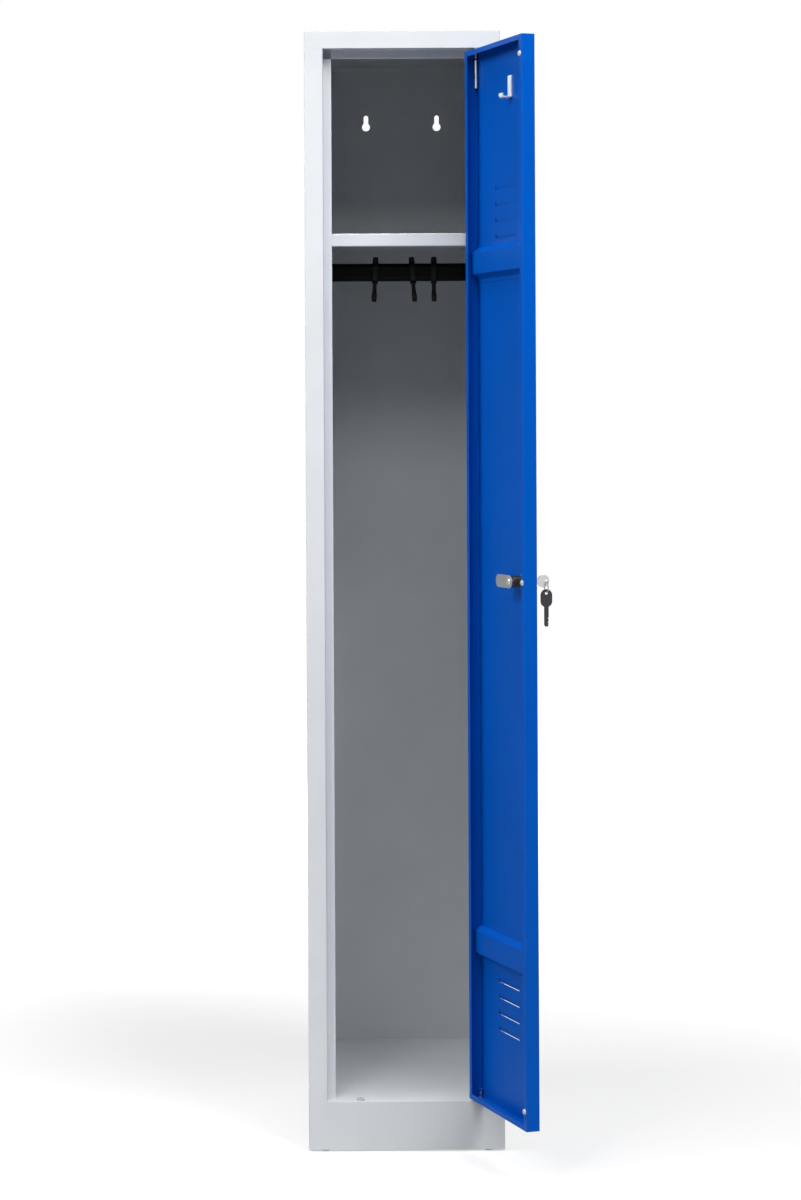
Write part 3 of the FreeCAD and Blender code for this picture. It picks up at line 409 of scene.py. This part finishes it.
# Half clear and glossy: a bright dot through which some of the blue shows.
clear_rubber = moulded("clear soft rubber", BUFFER_CLEAR, roughness=0.25)
clear_rubber.node_tree.nodes["Principled BSDF"].inputs["Transmission Weight"].default_value = BUFFER_CLEARNESS
for node in ("buffer_upper", "buffer_middle", "buffer_lower"):
    foot, tall = on_door(node)
    dome = soften([(0, 0), (BUFFER_FOOT_MM, 0), (BUFFER_SHOULDER_MM, tall * SHOULDER_SHARE),
                   (BUFFER_TOP_MM, tall), (0, tall)], min(BUFFER_ROUND_MM, tall * BUFFER_ROUND_SHARE))
    surface("domed_" + node, [(lathe(dome, foot, DOOR_IN, count=48), clear_rubber)],
            "door", node)

# Hinge pins
# Turned steel pins with a bright zinc plating, fixed in the door's two right corners. They turn in the nylon
# bushes of the carcass.
ZINC = "#BFC3C6"
PLATED_EDGE_MM = 0.3
CLOUD_MM = 6.0
CLOUD_DARK, CLOUD_LIGHT = 0.86, 1.06
BRIGHT_SPOT, DULL_SPOT = 0.75, 1.35
SCUFF_MM, SCUFF_RELIEF_MM, SCUFF_STRENGTH = 0.6, 0.2, 0.08


def plated(name, colour, roughness):
    """Plated metal: a mirror broken up by fine tool marks and by handling.

    Its gloss and shade vary from spot to spot, over clouds of a few millimetres.
    """
    material, tree, shader, place = bare_material(name)
    cloud = put(tree, "ShaderNodeTexNoise", {"Vector": place, "Scale": 1000 / CLOUD_MM, "Detail": 4.0})
    scuff = put(tree, "ShaderNodeTexNoise", {"Vector": place, "Scale": 1000 / SCUFF_MM, "Detail": 3.0})
    gloss = put(tree, "ShaderNodeMapRange", {"Value": cloud.outputs["Fac"], "From Min": NOISE_LOW,
                                             "From Max": NOISE_HIGH, "To Min": roughness * BRIGHT_SPOT,
                                             "To Max": roughness * DULL_SPOT})
    shades = put(tree, "ShaderNodeValToRGB", {"Fac": cloud.outputs["Fac"]})
    shades.color_ramp.elements[0].color = tint(colour, CLOUD_DARK)
    shades.color_ramp.elements[1].color = tint(colour, CLOUD_LIGHT)
    bump = put(tree, "ShaderNodeBump", {"Height": scuff.outputs["Fac"], "Strength": SCUFF_STRENGTH,
                                        "Distance": SCUFF_RELIEF_MM / 1000})
    tree.links.new(shades.outputs["Color"], shader.inputs["Base Color"])
    tree.links.new(gloss.outputs["Result"], shader.inputs["Roughness"])
    tree.links.new(bump.outputs["Normal"], shader.inputs["Normal"])
    shader.inputs["Metallic"].default_value = 1.0
    return material


# A cool, bright grey whose reflections are blurred by the fine crystals of the plating.
zinc = plated("zinc-plated steel", ZINC, roughness=0.34)
finish_nodes(("upper_hinge_pin", "lower_hinge_pin"), zinc, PLATED_EDGE_MM)

# Door hook
# A strip of steel bent to an L with a short upturned end, fixed inside the door near its head. Barrel plating
# leaves its zinc pale and matt.
PALE_ZINC = "#E2E6E8"
# Pale, matt and nearly white, with no clear reflection.
pale_zinc = plated("matt zinc-plated steel", PALE_ZINC, roughness=0.62)
finish_nodes(("door_hook",), pale_zinc, PLATED_EDGE_MM)

# Lock and keys
# A nickel-plated die-cast cam lock in a round hole, clamped by a hexagon nut, with a zinc-plated steel cam
# behind it. One key is in the lock and a duller spare hangs from it on a ring.
NICKEL = "#CFCDCA"
DULL_ZINC = "#A8ABAD"
KEY_EDGE_MM = 0.25
# A warm, bright metal with fairly sharp reflections, dulled in spots by handling.
nickel = plated("nickel-plated die casting", NICKEL, roughness=0.26)
finish_nodes(("lock_plug", "key_in_lock"), nickel, KEY_EDGE_MM)
finish_nodes(("lock_nut",), zinc, PLATED_EDGE_MM)
# A middle grey with wide, blurred reflections.
dull_zinc = plated("dull zinc-plated steel", DULL_ZINC, roughness=0.5)
finish_nodes(("lock_cam",), dull_zinc, PLATED_EDGE_MM)

# Lock housing
# The casting's round rosette is polished and plated. The threaded barrel behind the skin is a dull, dark
# grey, and the nut runs on its thread. Heights run inward from a plane 4.5 mm behind the skin's outer face.
DARK_CASTING = "#3A3A3C"
SKIN_OUT_MM, NUT_MIDDLE_MM = -4.5, -1.0
ROSETTE_RADIUS_MM, ROSETTE_THICK_MM, ROSETTE_ROUND_MM = 13.0, 3.0, 0.4
ROSETTE_RIM_IN_MM, ROSETTE_RIM_UP_MM = 1.2, 1.4
BARREL_MM, BARREL_RADIUS_MM, BARREL_TIP_MM = 24.0, 9.2, 0.8
BORE_RADIUS_MM, ROOT_MM = 6.56, 0.2
THREAD_PITCH_MM, THREAD_HALF_MM, THREAD_MARGIN_MM = 1.0, 0.3, 1.0
# A dark grey with a dull sheen on each turn of the thread.
dark_casting = plated("dark grey die casting", DARK_CASTING, roughness=0.5)
low, high = spans("lock_nut", DOOR_IN, DOOR_ALONG, UP)
middle = (low + high) / 2
lock_axis = middle[1] * DOOR_ALONG + middle[2] * UP + (middle[0] - NUT_MIDDLE_MM / 1000) * DOOR_IN
face, end = SKIN_OUT_MM - ROSETTE_THICK_MM, SKIN_OUT_MM + BARREL_MM
rosette = soften([(BORE_RADIUS_MM, SKIN_OUT_MM), (BORE_RADIUS_MM, face),
                  (ROSETTE_RADIUS_MM - ROSETTE_RIM_IN_MM, face),
                  (ROSETTE_RADIUS_MM, face + ROSETTE_RIM_UP_MM), (ROSETTE_RADIUS_MM, SKIN_OUT_MM),
                  (BORE_RADIUS_MM, SKIN_OUT_MM)], ROSETTE_ROUND_MM)
turns = np.arange(SKIN_OUT_MM + THREAD_MARGIN_MM, end - THREAD_MARGIN_MM, THREAD_PITCH_MM / 4)
wave = THREAD_HALF_MM * np.cos(2 * np.pi * turns / THREAD_PITCH_MM)
thread = np.stack([BARREL_RADIUS_MM - THREAD_HALF_MM + wave, turns], axis=1)
# The barrel starts a little inside the rosette, so that each of the two is a closed shell of its own.
root, bore = SKIN_OUT_MM - ROOT_MM, BORE_RADIUS_MM + ROOT_MM / 2
barrel = np.concatenate([[(bore, root), (BARREL_RADIUS_MM, root)], thread,
                         [(BARREL_RADIUS_MM - BARREL_TIP_MM, end), (bore, end), (bore, root)]])
surface("cast_lock_housing", [(lathe(rosette, lock_axis, DOOR_IN), nickel),
                              (lathe(barrel, lock_axis, DOOR_IN), dark_casting)],
        "door", "lock_housing")

# Cam screw
# A zinc-plated steel pan-head screw, cold headed with a cross recess and a rolled thread. It holds the cam on
# the end of the plug.
HEAD_TOP_MM, HEAD_RISE_MM, HEAD_ROWS = 5.2, 0.7, 40
HEAD_RADIUS_MM, HEAD_RIM_MM, HEAD_HIGH_MM, HEAD_ROUND_MM = 6.0, 1.6, 2.8, 0.3
SCREW_SHANK_MM = 2.4
RECESS_HALF_MM, RECESS_WALL_MM = 0.75, 0.3
RECESS_REACH_MM, RECESS_END_MM, RECESS_DEEP_MM = 3.0, 0.6, 1.5
screw_foot, tall = on_door("cam_screw")
radius = np.linspace(0, HEAD_TOP_MM, HEAD_ROWS)
crown = np.stack([radius, tall - HEAD_RISE_MM * (radius / HEAD_TOP_MM) ** 2], axis=1)
side = soften([crown[-1], (HEAD_RADIUS_MM, tall - HEAD_RIM_MM), (HEAD_RADIUS_MM, tall - HEAD_HIGH_MM),
               (SCREW_SHANK_MM, tall - HEAD_HIGH_MM), (SCREW_SHANK_MM, 0), (0, 0)], HEAD_ROUND_MM)
grid = lathe(np.concatenate([crown, side[1:]]), screw_foot, DOOR_IN, count=96)
# The recess is full depth along two crossed arms and rises evenly to nothing over their walls and ends.
one, two = (np.abs((grid[:HEAD_ROWS] - screw_foot) @ way) * 1000 for way in (DOOR_ALONG, UP))
inside_arm = np.clip((RECESS_HALF_MM - np.minimum(one, two)) / RECESS_WALL_MM + 0.5, 0, 1)
inside_reach = np.clip((RECESS_REACH_MM - np.maximum(one, two)) / RECESS_END_MM + 0.5, 0, 1)
grid[:HEAD_ROWS] -= (inside_arm * inside_reach * RECESS_DEEP_MM)[:, :, None] / 1000 * DOOR_IN
surface("pan_head_screw", [(grid, zinc)], "lock_rotor", "cam_screw")

# Key ring
# A split ring of flattened, zinc-plated spring wire. Its two turns lie side by side and cross over near the
# two ends, and the keys are threaded on between them.
RING_RADIUS_MM, RING_POINTS = 8.0, 240
WIRE_HALF_DEEP_MM, WIRE_HALF_THICK_MM = 0.8, 0.38
TURN_HALF_STEP_MM, CROSSING = 0.405, 0.45
low, high = spans("key_ring", DOOR_IN, DOOR_ALONG, UP)
middle = (low + high) / 2 * 1000
angle = np.linspace(CROSSING, 4 * np.pi - CROSSING, RING_POINTS)
# The wire passes from one turn to the other by the smooth step 1.5 s - 0.5 s^3, with s from -1 to 1.
step = np.clip((angle - 2 * np.pi) / CROSSING, -1, 1)
offset = TURN_HALF_STEP_MM * (1.5 * step - 0.5 * step ** 3)
coil = (middle[0] + offset)[:, None] * DOOR_IN + (
    middle[1] + RING_RADIUS_MM * np.sin(angle))[:, None] * DOOR_ALONG + (
    middle[2] + RING_RADIUS_MM * np.cos(angle))[:, None] * UP
wire = sweep(coil / 1000, DOOR_IN, WIRE_HALF_THICK_MM / 1000, WIRE_HALF_DEEP_MM / 1000)
surface("split_key_ring", [(wire, zinc)], "ring", "key_ring")

# Spare key
# Stamped from brass sheet, with milled cuts and a dull nickel finish that has darkened in use. It hangs on
# the split ring by the hole in its bow.
DARK_NICKEL = "#434346"
# A dark metal that brightens only where it turns toward the light.
dark_nickel = plated("dull nickel-plated brass", DARK_NICKEL, roughness=0.45)
finish_nodes(("spare_key",), dark_nickel, KEY_EDGE_MM)

# Floor
# A wide sheet of pale, matt studio paper. For the camera and in reflections it is lifted to the white of the
# backdrop, and less so near the locker, where it keeps the locker's shadow.
FLOOR_HALF = 30.0
FLOOR_GREY = "#A9A9A9"
LIFT_FROM, LIFT_TO = 0.5, 2.2
LIFT_NEAR, LIFT_FAR = 0.55, 1.0
floor_mesh = bpy.data.meshes.new("studio_floor")
corners = np.array([[-1, -1, 0], [1, -1, 0], [1, 1, 0], [-1, 1, 0]]) * FLOOR_HALF
floor_mesh.from_pydata(corners.tolist(), [], [(0, 1, 2, 3)])
floor = bpy.data.objects.new("studio_floor", floor_mesh)
bpy.context.scene.collection.objects.link(floor)
# White without a sheen, so that only soft shadows show on it.
floor_paint = bpy.data.materials.new("white studio floor")
floor_paint.use_nodes = True
tree = floor_paint.node_tree
tree.nodes.clear()
rays = put(tree, "ShaderNodeLightPath").outputs
seen = put(tree, "ShaderNodeMath", {0: rays["Is Camera Ray"], 1: rays["Is Glossy Ray"]}, operation="MAXIMUM")
place = put(tree, "ShaderNodeTexCoord").outputs["Object"]
reach = put(tree, "ShaderNodeVectorMath", {0: place}, operation="LENGTH")
white = put(tree, "ShaderNodeMapRange", {"Value": reach.outputs["Value"], "From Min": LIFT_FROM,
                                         "From Max": LIFT_TO, "To Min": LIFT_NEAR, "To Max": LIFT_FAR},
            interpolation_type="SMOOTHSTEP")
lift = put(tree, "ShaderNodeMath", {0: seen.outputs[0], 1: white.outputs["Result"]}, operation="MULTIPLY")
matte = put(tree, "ShaderNodeBsdfDiffuse", {"Color": linear(FLOOR_GREY)})
glow = put(tree, "ShaderNodeEmission", {"Strength": lift.outputs[0]})
both = put(tree, "ShaderNodeAddShader", {0: matte.outputs[0], 1: glow.outputs[0]})
put(tree, "ShaderNodeOutputMaterial", {"Surface": both.outputs[0]})
floor_mesh.materials.append(floor_paint)

# Studio light
# Soft boxes: a wide one over the camera lights the inside, one on the left the open door, one behind the back
# and one high on the right the front, polarised because its glare would bleach the roof. A weak one with a
# grid lifts the floor pan and stays off the roof. Camera, reflections and glass see a white surround.
MIDDLE = (0.05, -0.3, 0.95)
FLOOR_PAN = (0.0, -0.25, 0.15)
world = bpy.data.worlds.new("studio surround")
bpy.context.scene.world = world
world.use_nodes = True
tree = world.node_tree
tree.nodes.clear()
rays = put(tree, "ShaderNodeLightPath").outputs
mirrored = put(tree, "ShaderNodeMath", {0: rays["Is Glossy Ray"], 1: rays["Is Transmission Ray"]},
               operation="MAXIMUM")
seen = put(tree, "ShaderNodeMath", {0: rays["Is Camera Ray"], 1: mirrored.outputs[0]}, operation="MAXIMUM")
sky = put(tree, "ShaderNodeBackground", {"Color": (1.0, 1.0, 1.0, 1.0), "Strength": seen.outputs[0]})
put(tree, "ShaderNodeOutputWorld", {"Surface": sky.outputs[0]})


def soft_box(name, place, target, width, height, watts, spread_deg=180.0, glare=True):
    """A rectangular lamp at a place, turned to face a target point, with a grid where its spread is narrow.

    Without glare it is polarised: it lights a surface and leaves no reflection of itself there.
    """
    lamp = bpy.data.lights.new(name, "AREA")
    lamp.shape = "RECTANGLE"
    lamp.size = width
    lamp.size_y = height
    lamp.energy = watts
    lamp.spread = math.radians(spread_deg)
    holder = bpy.data.objects.new(name, lamp)
    holder.location = place
    holder.visible_glossy = glare
    holder.rotation_euler = (Vector(target) - Vector(place)).to_track_quat("-Z", "Y").to_euler()
    bpy.context.scene.collection.objects.link(holder)


soft_box("wide_front_soft_box", (0.0, -4.6, 4.2), MIDDLE, width=4.6, height=1.2, watts=106.0)
soft_box("left_soft_box", (-3.3, -1.4, 3.4), MIDDLE, width=2.4, height=2.0, watts=112.0)
soft_box("high_right_soft_box", (2.1, -3.2, 5.2), MIDDLE, width=2.0, height=2.0, watts=266.0, glare=False)
soft_box("gridded_soft_box", (-0.45, -1.2, 3.6), FLOOR_PAN, width=0.7, height=0.7, watts=2.1,
         spread_deg=36.0)
soft_box("rear_soft_box", (0.8, 4.8, 1.6), MIDDLE, width=3.0, height=1.6, watts=100.0)

# Camera
# Level, 4.8 m in front of the door frame and 1.17 m up, with the lens shifted down as the photograph's
# framing needs. The photograph leans by a quarter of a degree.
FOCAL_PX, IMAGE_HIGH_PX, IMAGE_WIDE_PX = 3012.0, 1200, 801
SIGHT_PX = (392.6, 421.9)
LEAN_DEG = -0.273
SENSOR_MM = 36.0
CAMERA_PLACE = (-0.0178, -5.087, 1.1716)
FAR_LIMIT = 200.0
lens = bpy.data.cameras.new("camera")
lens.sensor_fit = "VERTICAL"
lens.sensor_height = SENSOR_MM
lens.lens = SENSOR_MM * FOCAL_PX / IMAGE_HIGH_PX
lens.shift_x = (IMAGE_WIDE_PX / 2 - SIGHT_PX[0]) / IMAGE_HIGH_PX
lens.shift_y = -(IMAGE_HIGH_PX / 2 - SIGHT_PX[1]) / IMAGE_HIGH_PX
lens.clip_end = FAR_LIMIT
camera = bpy.data.objects.new("camera", lens)
upright = Matrix.Rotation(math.radians(90), 4, "X") @ Matrix.Rotation(math.radians(LEAN_DEG), 4, "Z")
camera.matrix_world = Matrix.Translation(CAMERA_PLACE) @ upright
bpy.context.scene.collection.objects.link(camera)
bpy.context.scene.camera = camera
bpy.context.scene.view_settings.view_transform = "Standard"
